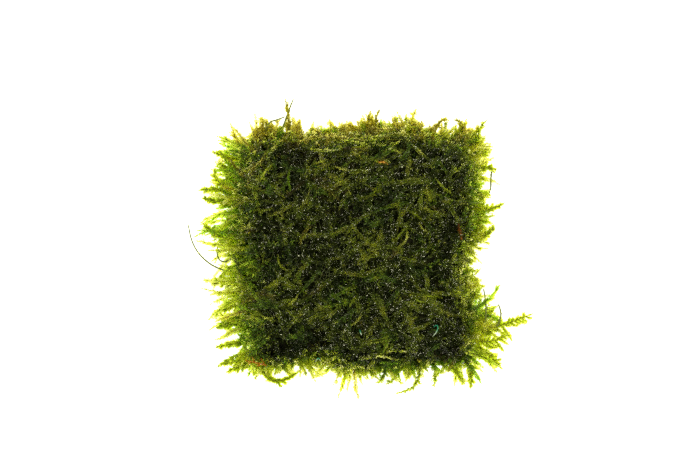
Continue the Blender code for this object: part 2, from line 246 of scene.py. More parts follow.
class Tangle:
    """Leaves and stems gathered into one mesh. Each corner's place on the colour map holds its tone, from
    dark to bright, and how far out on its leaf it is."""

    def __init__(self, seed):
        self.rng = np.random.default_rng(seed)
        self.points = []
        self.faces = []
        self.places = []
        self.count = 0

    def add(self, points, faces, places):
        """points and places hold one row of corners for each shape, and faces the triangles of one shape."""
        shapes, corners = points.shape[:2]
        starts = self.count + corners * np.arange(shapes)[:, None, None]
        self.points.append(points.reshape(-1, 3))
        self.faces.append((faces[None] + starts).reshape(-1, 3))
        self.places.append(places.reshape(-1, 2))
        self.count += shapes * corners

    def add_leaves(self, paths, tones, style, rolls, size):
        """Leaves all along each path, smaller and closer to the stem towards its tip."""
        rng = self.rng
        lengths = lengths_of(paths)
        pitch = style["pitch"] * MM
        order = np.arange(int(lengths.max() / pitch) + 1)
        shape = (len(paths), len(order))
        shares = (order + 0.5 + rng.normal(0, UNEVEN["place"], shape)) * pitch / lengths[:, None]
        points, ways = points_on(paths, np.clip(shares, 0, 1))
        across, above = frames_on(ways, np.broadcast_to(rolls[:, None], shape))
        around = np.radians(style["turn"]) * order + rng.normal(0, UNEVEN["turn"], shape)
        outwards = turned(across, above, around) + above * math.tan(math.radians(style["lift"]))
        taper = smooth_step(1.08, 0.6, shares) * 0.5 + 0.5
        closing = 1 - 0.5 * np.clip(shares, 0, 1) ** 4
        angle = np.radians(style["angle"] * closing + rng.normal(0, UNEVEN["angle"], shape))
        axis = turned(ways, unit(outwards), angle)
        upper = above if style["turn"] == TWO_RANKS else ways
        facing = unit(upper - axis * (upper * axis).sum(-1, keepdims=True))
        facing = turned(facing, np.cross(axis, facing), rng.normal(0, UNEVEN["roll"], shape))
        wide = np.cross(axis, facing)
        grown = taper * size * rng.uniform(*UNEVEN["size"], shape)
        long = (style["length"] * MM * grown)[..., None]
        half = (style["width"] * MM / 2 * grown)[..., None]
        curl = rng.normal(LEAF_CURL, LEAF_CURL, shape)[..., None]
        middle = points + axis * long * LEAF_WIDEST
        corners = np.stack(
            [
                points,
                middle + (wide + facing * LEAF_FOLD) * half,
                middle - (wide - facing * LEAF_FOLD) * half,
                middle,
                points + axis * long - facing * long * curl,
            ],
            axis=2,
        )
        mottle = rng.normal(0, style["mottle"], shape) + rng.normal(0, style["vary"], (len(paths), 1))
        tone = np.clip(tones(points, shares) * np.exp(mottle), 0, 1)
        across_map = map_width(tone)[..., None] + MAP_MARGIN * np.array((0, 0.5, -0.5, 0, 0))
        along_map = np.broadcast_to(LEAF_WAY * LEAF_BAND, across_map.shape)
        places = np.stack([across_map, along_map], axis=-1)
        grows = shares < 1
        self.add(corners[grows], LEAF_FACES, places[grows])

    def add_stems(self, paths, tones, style, sides=3):
        """A tapered tube with a pointed tip along each path."""
        shoots, rings = paths.shape[:2]
        shares = np.broadcast_to(np.linspace(0, 1, rings), (shoots, rings))
        ways = unit(np.gradient(paths, axis=1))
        across, above = frames_on(ways, np.zeros(shares.shape))
        turns = 2 * math.pi * np.arange(sides) / sides
        thick = (style["stem"] * MM * (1 - style["taper"] * shares))[..., None, None]
        around = across[:, :, None] * np.cos(turns)[:, None] + above[:, :, None] * np.sin(turns)[:, None]
        corners = (paths[:, :, None] + around * thick).reshape(shoots, -1, 3)
        tip = (paths[:, -1:] + ways[:, -1:] * thick[:, -1]).reshape(shoots, 1, 3)
        tone = np.clip(tones(paths, shares), 0, 1)[..., None]
        across_map = map_width(tone) + np.zeros(sides)
        along_map = LEAF_BAND + (1 - LEAF_BAND) * (0.3 + 0.6 * np.arange(sides) / sides)
        along_map = np.broadcast_to(along_map, across_map.shape)
        places = np.stack([across_map, along_map], axis=-1).reshape(shoots, -1, 2)
        places = np.concatenate([places, places[:, -1:]], axis=1)
        here, beside = ring_corners(rings, sides)
        faces = joined(here[:-1], beside[:-1], beside[1:], here[:-1], beside[1:], here[1:])
        end = joined(here[-1], beside[-1], rings * sides)
        self.add(np.concatenate([corners, tip], axis=1), np.concatenate([faces, end]), places)

    def add_shoots(self, paths, tones, style, roll, size=1.0, sides=3):
        """Leafy stems along the paths, each turned about itself by its own share of the roll, in radians."""
        if len(paths) == 0:
            return
        self.add_stems(paths, tones, style, sides)
        self.add_leaves(paths, tones, style, self.rng.normal(0, roll, len(paths)), size)

    def side_shoots(self, paths, spacing, length, angle, lean=0, points=5):
        """Paths of side shoots, on either side of each path in turn, shorter towards the tips. With a lean
        the ones on the left are longer by that share, and the ones on the right shorter."""
        rng = self.rng
        lengths = lengths_of(paths)
        order = np.arange(int(lengths.max() / (spacing * MM)) + 1)
        shape = (len(paths), len(order))
        shares = (order + rng.uniform(0.2, 0.9, shape)) * spacing * MM / lengths[:, None]
        starts, ways = points_on(paths, np.clip(shares, 0, 1))
        turn = np.radians(rng.normal(angle, 8, shape)) * np.where(order % 2, 1, -1)
        level = unit(np.cross(UP, ways))
        ways = turned(ways, level, turn)
        reach = length * MM * (1.1 - 0.75 * shares) * rng.uniform(0.6, 1.2, shape)
        reach = reach * (1 + lean * np.sign(turn))
        steps = np.linspace(0, 1, points)
        bend = rng.normal(0.25, 0.2, shape) * np.sign(turn)
        grown = ways[:, :, None] * (reach[..., None] * steps)[..., None]
        swing = -level[:, :, None] * ((reach * bend)[..., None] * steps ** 2)[..., None]
        made = starts[:, :, None] + grown + swing
        return made[shares < 0.9]

    def make(self, name, material, slot, *nodes):
        """The gathered shapes as one mesh in place of the nodes."""
        mesh = bpy.data.meshes.new(name)
        points = np.concatenate(self.points)
        points[:, 2] = np.maximum(points[:, 2], FLOOR_GAP)
        faces = np.concatenate(self.faces)
        places = np.concatenate(self.places)
        mesh.vertices.add(len(points))
        mesh.vertices.foreach_set("co", points.astype(np.float32).ravel())
        mesh.loops.add(faces.size)
        mesh.loops.foreach_set("vertex_index", faces.astype(np.int32).ravel())
        mesh.polygons.add(len(faces))
        mesh.polygons.foreach_set("loop_start", np.arange(0, faces.size, 3, dtype=np.int32))
        mesh.update(calc_edges=True)
        layer = mesh.uv_layers.new(name="OFBake")
        layer.uv.foreach_set("vector", places[faces.ravel()].astype(np.float32).ravel())
        mesh.shade_smooth()
        mesh.materials.append(material)
        piece = add_object(name, mesh)
        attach(piece, "root")
        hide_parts(*nodes)


# Materials

LEAF_IOR = 1.4
LEAF_THIN = (0.3, 0.92)  # how much of a leaf's light comes through it, for a dark leaf and for a bright one
STEM_THIN = 0.15  # a stem's, against a leaf's


def set_inputs(node, values):
    """Plain values for the node's inputs, by their names."""
    for name, value in values.items():
        node.inputs[name].default_value = value


def parts_of(tree, vector):
    """The vector's X, Y and Z."""
    node = tree.nodes.new("ShaderNodeSeparateXYZ")
    tree.links.new(vector, node.inputs[0])
    return node.outputs


def ramp(tree, stops, factor):
    """A colour that runs through the stops, each a position and a colour."""
    node = tree.nodes.new("ShaderNodeValToRGB")
    elements = node.color_ramp.elements
    while len(elements) < len(stops):
        elements.new(0.5)
    for element, (position, color) in zip(elements, stops):
        element.position = position
        element.color = (*color, 1)
    tree.links.new(factor, node.inputs["Fac"])
    return node.outputs["Color"]


def mapped(tree, value, from_low, from_high, to_low, to_high):
    """The value taken smoothly from one range to the other."""
    node = tree.nodes.new("ShaderNodeMapRange")
    node.interpolation_type = "SMOOTHSTEP"
    set_inputs(node, {"From Min": from_low, "From Max": from_high, "To Min": to_low, "To Max": to_high})
    tree.links.new(value, node.inputs["Value"])
    return node.outputs["Result"]


def product(tree, first, second):
    node = tree.nodes.new("ShaderNodeMath")
    node.operation = "MULTIPLY"
    tree.links.new(first, node.inputs[0])
    tree.links.new(second, node.inputs[1])
    return node.outputs[0]


def mixed(tree, factor, first, second, blend="MIX"):
    node = tree.nodes.new("ShaderNodeMix")
    node.data_type = "RGBA"
    node.blend_type = blend
    for socket, value in zip((node.inputs[0], node.inputs[6], node.inputs[7]), (factor, first, second)):
        if isinstance(value, bpy.types.NodeSocket):
            tree.links.new(value, socket)
        else:
            socket.default_value = value
    return node.outputs[2]


def moss_material(name, leaf_stops, glow_stops, stem_stops, roughness, gloss, base, pale):
    """Wet leaves that let light through. The colour map's width is the tone of a leaf or stem, and its
    height is the way from a leaf's base to its tip, with the stems in a band above. Along a leaf the colour
    runs from painted shade at its base to a painted highlight at its tip. base is how bright a leaf's base
    is, and pale how much of the pale tip's colour its tip has; that colour is partly the leaf's own paler
    tip and partly a painted glint."""
    material = bpy.data.materials.new(name)
    material.use_nodes = True
    tree = material.node_tree
    tree.nodes.clear()
    uv = tree.nodes.new("ShaderNodeUVMap")
    uv.uv_map = "OFBake"
    parts = parts_of(tree, uv.outputs["UV"])
    tone, along = parts["X"], parts["Y"]
    on_stem = mapped(tree, along, LEAF_BAND + 0.01, LEAF_BAND + 0.03, 0, 1)
    # painted light along each leaf: painted shade towards its base, a painted highlight towards its tip
    base_shade_tip_glint = mapped(tree, along, 0.1 * LEAF_BAND, LEAF_BAND, base, 1.6 - 0.5 * base)
    leaf = mixed(tree, 1.0, ramp(tree, leaf_stops, tone), base_shade_tip_glint, "MULTIPLY")
    # the pale tip: partly the leaf's own paler tip, partly a painted highlight
    tip_pale_and_glint = mapped(tree, along, 0.4 * LEAF_BAND, LEAF_BAND, 0, pale)
    leaf = mixed(tree, tip_pale_and_glint, leaf, ramp(tree, PALE_TIP_AND_GLINT, tone))
    stem = ramp(tree, stem_stops, tone)
    surface = tree.nodes.new("ShaderNodeBsdfPrincipled")
    set_inputs(surface, {"Roughness": roughness, "IOR": LEAF_IOR, "Specular IOR Level": gloss})
    tree.links.new(mixed(tree, on_stem, leaf, stem), surface.inputs["Base Color"])
    through = tree.nodes.new("ShaderNodeBsdfTranslucent")
    tree.links.new(mixed(tree, on_stem, ramp(tree, glow_stops, tone), stem), through.inputs["Color"])
    thin = mapped(tree, tone, 0.1, 0.65, *LEAF_THIN)
    leafy = mapped(tree, along, LEAF_BAND, LEAF_BAND + 0.03, 1, STEM_THIN)
    mix = tree.nodes.new("ShaderNodeMixShader")
    tree.links.new(product(tree, thin, leafy), mix.inputs["Fac"])
    tree.links.new(surface.outputs[0], mix.inputs[1])
    tree.links.new(through.outputs[0], mix.inputs[2])
    output = tree.nodes.new("ShaderNodeOutputMaterial")
    tree.links.new(mix.outputs[0], output.inputs["Surface"])
    return material


# Colours by tone: of a leaf's pale tip, partly its own paler tip and partly a painted highlight of wet glints;
# of the lit leaf, of the light that comes through it, and of the stem; and the thread's
PALE_TIP_AND_GLINT = [
    (0.0, (0.010, 0.012, 0.005)), (0.15, (0.08, 0.092, 0.026)), (0.35, (0.36, 0.41, 0.125)),
    (0.6, (0.62, 0.66, 0.23)), (1.0, (0.80, 0.80, 0.36)),
]
INNER_LEAF = [
    (0.0, (0.003, 0.005, 0.001)), (0.15, (0.018, 0.029, 0.001)), (0.35, (0.090, 0.130, 0.004)),
    (0.6, (0.24, 0.31, 0.008)), (1.0, (0.50, 0.53, 0.025)),
]
DEEP_LEAF = [
    (0.0, (0.003, 0.006, 0.002)), (0.15, (0.011, 0.028, 0.003)), (0.35, (0.055, 0.125, 0.008)),
    (0.6, (0.17, 0.29, 0.018)), (1.0, (0.42, 0.50, 0.030)),
]
DEEP_GLOW = [
    (0.0, (0.006, 0.014, 0.002)), (0.15, (0.022, 0.070, 0.003)), (0.35, (0.17, 0.38, 0.010)),
    (0.6, (0.58, 0.80, 0.05)), (1.0, (0.90, 0.96, 0.20)),
]
GREEN_LEAF = [
    (0.0, (0.004, 0.006, 0.001)), (0.15, (0.021, 0.031, 0.002)), (0.35, (0.10, 0.135, 0.006)),
    (0.6, (0.26, 0.31, 0.010)), (1.0, (0.52, 0.52, 0.030)),
]
GREEN_GLOW = [
    (0.0, (0.010, 0.015, 0.001)), (0.15, (0.05, 0.08, 0.002)), (0.35, (0.30, 0.42, 0.010)),
    (0.6, (0.80, 0.87, 0.07)), (1.0, (0.97, 0.97, 0.40)),
]
GREEN_STEM = [(0.0, (0.006, 0.006, 0.002)), (0.5, (0.045, 0.048, 0.006)), (1.0, (0.11, 0.11, 0.010))]
FRESH_STEM = [(0.0, (0.008, 0.010, 0.002)), (0.5, (0.10, 0.11, 0.010)), (1.0, (0.26, 0.26, 0.022))]
FRESH_LEAF = [
    (0.0, (0.003, 0.006, 0.001)), (0.15, (0.017, 0.032, 0.001)), (0.35, (0.085, 0.14, 0.003)),
    (0.6, (0.22, 0.32, 0.006)), (1.0, (0.50, 0.54, 0.020)),
]
FRESH_GLOW = [
    (0.0, (0.008, 0.015, 0.001)), (0.15, (0.04, 0.08, 0.001)), (0.35, (0.29, 0.42, 0.006)),
    (0.6, (0.80, 0.87, 0.065)), (1.0, (0.97, 0.97, 0.42)),
]
OLIVE_LEAF = [
    (0.0, (0.007, 0.007, 0.002)), (0.15, (0.030, 0.028, 0.005)), (0.35, (0.13, 0.12, 0.012)),
    (0.6, (0.30, 0.27, 0.018)), (1.0, (0.58, 0.52, 0.060)),
]
OLIVE_GLOW = [
    (0.0, (0.02, 0.018, 0.003)), (0.15, (0.08, 0.07, 0.005)), (0.35, (0.36, 0.33, 0.014)),
    (0.6, (0.78, 0.73, 0.09)), (1.0, (0.94, 0.90, 0.30)),
]
OLIVE_STEM = [(0.0, (0.012, 0.009, 0.003)), (0.5, (0.060, 0.042, 0.010)), (1.0, (0.14, 0.095, 0.016))]
BARE_STEM = [(0.0, (0.010, 0.012, 0.003)), (0.5, (0.085, 0.110, 0.024)), (1.0, (0.24, 0.30, 0.075))]
DEAD_LEAF = [(0.0, (0.055, 0.014, 0.006)), (0.5, (0.56, 0.21, 0.010)), (1.0, (0.85, 0.52, 0.10))]
DEAD_STEM = [(0.0, (0.045, 0.012, 0.006)), (0.7, (0.30, 0.105, 0.008)), (1.0, (0.66, 0.38, 0.09))]
THREAD_GREEN = [(0.3, (0.01, 0.11, 0.07)), (0.7, (0.03, 0.25, 0.16))]
# the pale grey that each thread fades to towards its lower end in the plan
THREAD_PALE_END = (0.42, 0.50, 0.42, 1)


def make_materials():
    """Each material by the look that it gives."""
    # base sets the painted shade at each leaf's base; pale sets its pale tip, which is partly a painted
    # highlight
    green = dict(roughness=0.16, gloss=0.54, base=0.25, pale=0.75)
    deep = dict(roughness=0.25, gloss=0.2, base=0.25, pale=0.5)
    olive = dict(roughness=0.18, gloss=0.36, base=0.25, pale=0.5)
    fresh = dict(roughness=0.24, gloss=0.2, base=0.72, pale=0.15)
    bare = dict(roughness=0.3, gloss=0.4, base=0.6, pale=0.2)
    matted = dict(roughness=0.7, gloss=0.15, base=0.5, pale=0)
    dead = dict(roughness=0.5, gloss=0.08, base=0.5, pale=0)
    return {
        "green": moss_material("green_moss", INNER_LEAF, GREEN_GLOW, GREEN_STEM, **green),
        "deep": moss_material("deep_green_moss", DEEP_LEAF, DEEP_GLOW, GREEN_STEM, **deep),
        "olive": moss_material("olive_moss", OLIVE_LEAF, OLIVE_GLOW, OLIVE_STEM, **olive),
        "yellow": moss_material("yellow_green_moss", GREEN_LEAF, GREEN_GLOW, FRESH_STEM, **fresh),
        "fresh": moss_material("fresh_moss", FRESH_LEAF, FRESH_GLOW, FRESH_STEM, **fresh),
        "stem": moss_material("bare_stem", OLIVE_LEAF, OLIVE_GLOW, BARE_STEM, **bare),
        # the dark inside: partly matted stems, partly painted shade
        "core": moss_material("matted_moss_painted_shade", GREEN_STEM, GREEN_STEM, GREEN_STEM, **matted),
        "dead": moss_material("dead_moss", DEAD_LEAF, DEAD_LEAF, DEAD_STEM, **dead),
    }


# The mat. Where an amount differs from side to side, "all" is for every side, and the rest is added to it.

RIM_START = 2.5  # how far past the edge the leaves are at their brightest
RIM = {"all": 8, "left": 6.5, "right": 3.2, "top": 3}  # how far in from there the bright rim reaches
PATCHES = ((14, 1.0), (4, 0.8), (1.8, 1.1))  # sizes and strengths of the darker and brighter patches
# painted shade: the lower a leaf lies under the mat's top, the darker it is painted
PAINTED_SHADE_HEIGHTS = (-1.2, 1.8)  # how high over the mat's top a leaf is at its darkest and at its brightest
TWIG_SIZE = 0.85  # size of the leaves of side shoots, against those of the shoot itself
FRINGE = {"all": 3.8, "left": 3.9, "right": 0.4, "top": -0.5, "bottom": 0.8}  # how far it stands out
BAY = 2.6  # how much less it stands out in a bay of the right side, and how much more in the corner below
BAY_MIDDLE = -6  # how far up the plan from the mat's middle the bay is
BAY_WIDTH = 6
CORNER = (-14, -22)  # from where to where the corner's fringe gets longer
CORE_INSET = {"all": 4.5, "left": 1.4, "right": -0.7, "top": 0.9}  # of the dark inside, from the mat's edge
CORE_DROP = 1.9  # from the mat's top to the dark inside
CORE_EDGE_DROP = 3.0  # how much lower than that the dark inside's edge is
CORE_EDGE_HEIGHT = 1.3  # the least height of that edge
CORE_ROUGHNESS = ((1.6, 0.35), (0.8, 0.2))  # sizes and heights of its bumps
CORE_FOOT = 0.93  # size of its foot, against its outline


def side_shares(outward):
    """How far each direction points to each side of the plan, from 0 to 1."""
    x, y = outward[..., 0], outward[..., 1]
    ways = {"left": -x, "right": x, "top": y, "bottom": -y}
    return {side: smooth_step(0.2, 0.9, way) for side, way in ways.items()}


def by_side(amounts, outward):
    """The amount that goes with each direction."""
    shares = side_shares(outward)
    return amounts["all"] + sum(amounts[side] * shares[side] for side in amounts if side != "all")


class Mat:
    """The tangle of shoots: one green mesh for each part of it, and for the mat and for the fringe one mesh
    of all deep green shoots and one of all olive ones."""

    def __init__(self, ground, materials):
        self.ground = ground
        self.materials = materials
        self.seed = 100
        self.olive = {"dark_moss": Tangle(seed=50), "fresh_frond": Tangle(seed=54)}
        self.deep = {"dark_moss": Tangle(seed=52), "fresh_frond": Tangle(seed=55)}

    def olive_share(self, places):
        """The chance that a shoot is olive: high along the upper edge and in the upper left, else low."""
        across = places[:, 0] / self.ground.half[0]
        up = places[:, 1] / self.ground.half[1]
        patch = ripples(places, 7 * MM, np.random.default_rng(51))
        edge = 0.60 * smooth_step(0.80, 0.96, up)
        corner = 0.15 * smooth_step(0.3, -0.3, across) * smooth_step(0.1, 0.6, up)
        return 0.03 + edge + corner + 0.06 * patch

    def deep_share(self, places):
        """The chance that a shoot is deep green: high in patches of the mat and along its left side."""
        across = places[:, 0] / self.ground.half[0]
        patch = ripples(places, 11 * MM, np.random.default_rng(53))
        return 0.10 + 0.65 * smooth_step(0.2, 1.0, patch) + 0.25 * smooth_step(-0.5, -0.9, across)

    def tones(self, base, patches, tip=0):
        """The tone of a leaf from where it is: near black deep in the mat, where the tone falls with the
        leaf's depth below the mat's top as painted shade, and bright out in the fringe. patches is how strong
        the patches are, and tip how much brighter a shoot's tip is than its base."""
        ground = self.ground

        def tones_at(points, shares):
            outward = ground.outward_at(points)
            rim = smooth_step(1, 0, (ground.inside_at(points) / MM + RIM_START) / by_side(RIM, outward))
            rng = np.random.default_rng(63)
            patch = sum(strength * ripples(points, size * MM, rng) for size, strength in PATCHES)
            height = (points[..., 2] - ground.surface_at(points)) / MM
            # painted shade of the tangle's depths: the tone falls the lower a leaf lies
            depth_shade = 0.04 + 1.2 * smooth_step(*PAINTED_SHADE_HEIGHTS, height)
            low = 1 - 0.35 * smooth_step(-0.4, -0.8, points[..., 1] / ground.half[1])
            inner = base * low * np.exp(patches * patch) * depth_shade * (1 + tip * (shares - 0.5))
            outer = 0.78 + 0.12 * side_shares(outward)["right"] + 0.35 * shares
            return inner * (1 - rim) + outer * rim

        return tones_at

    def add(self, name, paths, leaves, tones, roll, twigs=None, look="green", slot="dark_moss"):
        """Shoots along the paths, with side shoots where twigs gives their spacing, length and angle."""
        self.seed += 1
        style = LEAVES[leaves]
        plain = Tangle(self.seed)
        middles = paths[:, paths.shape[1] // 2]
        chance = plain.rng.random((2, len(paths)))
        is_olive = chance[0] < self.olive_share(middles)
        is_deep = ~is_olive & (chance[1] < self.deep_share(middles))
        parts = ((plain, ~is_olive & ~is_deep), (self.olive[slot], is_olive), (self.deep[slot], is_deep))
        for tangle, chosen in parts:
            tangle.add_shoots(paths[chosen], tones, style, roll)
            if twigs and chosen.any():
                side = tangle.side_shoots(paths[chosen], **twigs)
                tangle.add_shoots(side, tones, style, roll, TWIG_SIZE)
        plain.make(name, self.materials[look], slot, "moss_mat")

    def finish(self):
        """The deep green and the olive shoots of all parts."""
        for slot, place in (("dark_moss", "mat"), ("fresh_frond", "fringe")):
            self.olive[slot].make(place + "_olive_shoots", self.materials["olive"], slot, "moss_mat")
            self.deep[slot].make(place + "_deep_green_shoots", self.materials["deep"], slot, "moss_mat")


def scattered(ground, rng, count, inset):
    """Places spread over the mat, at least the inset within its edge."""
    places = np.empty((0, 2))
    while len(places) < count:
        more = rng.uniform((ground.xs[0], ground.ys[0]), (ground.xs[-1], ground.ys[-1]), (count, 2))
        places = np.concatenate([places, more[ground.inside_at(more) > inset * MM]])
    return places[:count]


def at_height(plan, heights, least=0):
    """The places of the plan at the heights, but no lower than the least one, in millimetres."""
    return np.concatenate([plan, np.maximum(heights, least * MM)[..., None]], axis=-1)


def plan_of(starts, headings, lengths):
    """Paths over the plan from the starts, each with its own heading for every step."""
    steps = np.stack([np.cos(headings), np.sin(headings)], axis=-1)
    steps = steps * (lengths / (headings.shape[1] - 1))[:, None, None]
    return starts[:, None] + np.cumsum(steps, axis=1) - steps[:, :1]


def lying_paths(ground, seed, count, inset, depth, rise, length, points=6, level=0.35):
    """Paths that come up out of the mat, run over its top and dip in again, and stay within its edge. depth
    is how far down they start, rise how high they get over the top, and level how much they are turned
    towards the mat's width."""
    rng = np.random.default_rng(seed)
    starts = scattered(ground, rng, 2 * count, inset)
    heading = rng.uniform(0, 2 * math.pi, 2 * count)
    heading -= level * np.sin(2 * heading)
    turn = rng.normal(0, 0.8, 2 * count)
    shares = np.linspace(0, 1, points)
    lengths = length * MM * rng.uniform(0.6, 1.35, 2 * count)
    plan = plan_of(starts, heading[:, None] + turn[:, None] * shares, lengths)
    plan = plan[ground.inside_at(plan).min(axis=1) > 0][:count]
    lifted = (rise * MM * rng.uniform(0.3, 1.3, len(plan)))[:, None] * np.sin(math.pi * shares ** 0.8)
    sunk = (depth * MM * rng.uniform(0.6, 1.3, len(plan)))[:, None] * (1 - shares) ** 2
    heights = ground.surface_at(plan) + lifted - sunk
    return at_height(plan, heights, least=0.6)


def upright_paths(ground, seed, count, points=4):
    """Short paths that stand up out of the mat and lean over."""
    rng = np.random.default_rng(seed)
    places = scattered(ground, rng, count, 1.0)
    top = ground.surface_at(places) + rng.normal(0.2, 0.6, count) * MM
    lean = rng.normal(0, 1.1, (count, 2)) * MM
    shares = np.linspace(0, 1, points)
    plan = places[:, None] + lean[:, None] * (shares ** 1.6)[:, None]
    rise = rng.uniform(2.4, 4.0, count)[:, None] * MM
    heights = np.maximum(top[:, None] - rise * (1 - shares ** 0.8), 0.6 * MM + 0.2 * MM * shares)
    return at_height(plan, heights)


def fringe_reach(outward, places):
    """How far the fringe stands out at places along the edge, in millimetres."""
    up = places[:, 1] / MM
    bay = np.exp(-(((up - BAY_MIDDLE) / BAY_WIDTH) ** 2))
    corner = smooth_step(*CORNER, up)
    return by_side(FRINGE, outward) + BAY * (corner - bay) * side_shares(outward)["right"]


def fringe_paths(ground, seed, count, points=8):
    """Paths that start inside the edge and stand out over it in tufts, drooping to the table."""
    rng = np.random.default_rng(seed)
    outline = ground.outline
    sides = np.linalg.norm(np.roll(outline, -1, axis=0) - outline, axis=1)
    chosen = rng.choice(len(outline), count, p=sides / sides.sum())
    share = rng.uniform(0, 1, count)[:, None]
    edge = outline[chosen] * (1 - share) + np.roll(outline, -1, axis=0)[chosen] * share
    outward = ground.outward_at(edge)
    tuft = ripples(edge, 2.6 * MM, np.random.default_rng(61))
    swing = ripples(edge, 9 * MM, np.random.default_rng(62))
    depth = rng.uniform(1.5, 11, count)[:, None] * MM
    starts = edge - outward * depth
    reach = fringe_reach(outward, edge) * (0.2 + 0.95 * rng.uniform(0, 1, count) ** 1.7 + 0.52 * tuft)
    reach = np.maximum(reach, 0.2) * MM
    turn = np.clip(0.28 * swing + rng.normal(0, 0.25, count), -0.6, 0.6)
    bend = np.clip(0.3 * swing + rng.normal(0, 0.4, count), -0.6, 0.6)
    shares = np.linspace(0, 1, points)
    heading = np.arctan2(outward[:, 1], outward[:, 0]) + turn
    plan = plan_of(starts, heading[:, None] + bend[:, None] * shares ** 1.5, depth[:, 0] + reach)
    level = rng.uniform(0.04, 0.95, count)[:, None]
    base = ground.surface_at(plan[:, :1]) * level
    tip = rng.uniform(0.3, 2.2, count)[:, None] * MM + base * 0.15
    heights = base * (1 - shares) + tip * shares + 0.8 * MM * np.sin(math.pi * shares)
    return at_height(plan, heights, least=0.35)


def under_paths(ground, seed, spacing, points=5):
    """Short paths low down all round the edge, evenly spread, which close the gap between the dark inside
    and the fringe."""
    rng = np.random.default_rng(seed)
    columns = np.arange(ground.xs[0], ground.xs[-1], spacing * MM)
    rows = np.arange(ground.ys[0], ground.ys[-1], spacing * MM)
    starts = np.stack(np.meshgrid(columns, rows), axis=-1).reshape(-1, 2)
    starts = starts + rng.uniform(-0.5, 0.5, starts.shape) * spacing * MM
    inside = ground.inside_at(starts) / MM
    starts = starts[(inside > 1.5) & (inside < by_side(CORE_INSET, ground.outward_at(starts)) + 3.5)]
    heading = rng.uniform(0, 2 * math.pi, len(starts))
    lengths = rng.uniform(3.5, 6, len(starts)) * MM
    bend = rng.normal(0, 0.6, len(starts))[:, None] * np.linspace(0, 1, points)
    plan = plan_of(starts, heading[:, None] + bend, lengths)
    plan -= (plan.mean(axis=1) - starts)[:, None]
    heights = rng.uniform(0.3, 3.0, len(starts))[:, None] * MM + rng.normal(0, 0.2, plan.shape[:2]) * MM
    return at_height(plan, heights, least=0.3)


def sides_of(paths):
    """The paths that stand out of each side of the mat, with the side's name."""
    way = unit(paths[:, -1, :2] - paths[:, 0, :2])
    sides = (("left", -way[:, 0]), ("top", way[:, 1]), ("bottom", -way[:, 1]))
    left_over = np.ones(len(paths), dtype=bool)
    for name, facing in sides:
        chosen = left_over & (facing > 0.7)
        left_over &= ~chosen
        yield name, paths[chosen]
    yield "right", paths[left_over]


def core_outline(ground):
    """The edge of the dark inside, once round: on each line out from the middle, the last place that is far
    enough in from the mat's edge."""
    shares = np.linspace(0.3, 1, 141)
    places = ground.outline[:, None] * shares[:, None]
    inset = by_side(CORE_INSET, ground.outward_at(ground.outline)) * MM
    far_in = ground.inside_at(places) > inset[:, None]
    last = shares[len(shares) - 1 - np.argmax(far_in[:, ::-1], axis=1)]
    width = 9
    wrapped = np.concatenate([last[-width:], last, last[:width]])
    even = np.convolve(wrapped, np.ones(width) / width, mode="same")[width:-width]
    return ground.outline * np.minimum(even, last)[:, None]


def make_core(ground, material):
    """The dark inside of the tangle: the mat's solid drawn in and roughened, with its flat underside. Its
    near-black colour is partly the dark matted stems deep in the mat and partly painted shade in the gaps
    between the shoots.
    """
    outline = core_outline(ground)
    rings = np.linspace(0.03, 1, 34) ** 0.75
    places = outline[None] * rings[:, None, None]
    rng = np.random.default_rng(11)
    rough = sum(height * MM * ripples(places, size * MM, rng, waves=12) for size, height in CORE_ROUGHNESS)
    drop = (CORE_DROP + CORE_EDGE_DROP * smooth_step(0.8, 1.0, rings)[:, None]) * MM
    around = len(outline)
    top = at_height(places, ground.surface_at(places) - drop + rough, CORE_EDGE_HEIGHT)
    foot = at_height(places[-1] * CORE_FOOT, np.full(around, FLOOR_GAP))
    points = np.concatenate([top.reshape(-1, 3), foot, [(0, 0, top[0, :, 2].mean()), (0, 0, FLOOR_GAP)]])
    here, beside = ring_corners(len(rings) + 1, around)
    faces = joined(here[:-1], here[1:], beside[1:], here[:-1], beside[1:], beside[:-1])
    ends = joined(here.size, here[0], beside[0], here.size + 1, beside[-1], here[-1])
    tangle = Tangle(seed=12)
    # near-black tones: partly dark matted stems, partly painted shade of the gaps
    tone = 0.05 + 0.05 * ripples(points[:, :2], 2.5 * MM, rng)
    along = 0.4 + 0.3 * ripples(points[:, :2], 1.7 * MM, rng)
    places = np.stack([np.clip(tone, 0.01, 0.2), np.clip(along, 0.05, 0.95) * LEAF_BAND], axis=-1)
    tangle.add(points[None], np.concatenate([faces, ends]), places[None])
    tangle.make("mat_core", material, "dark_moss", "moss_mat")


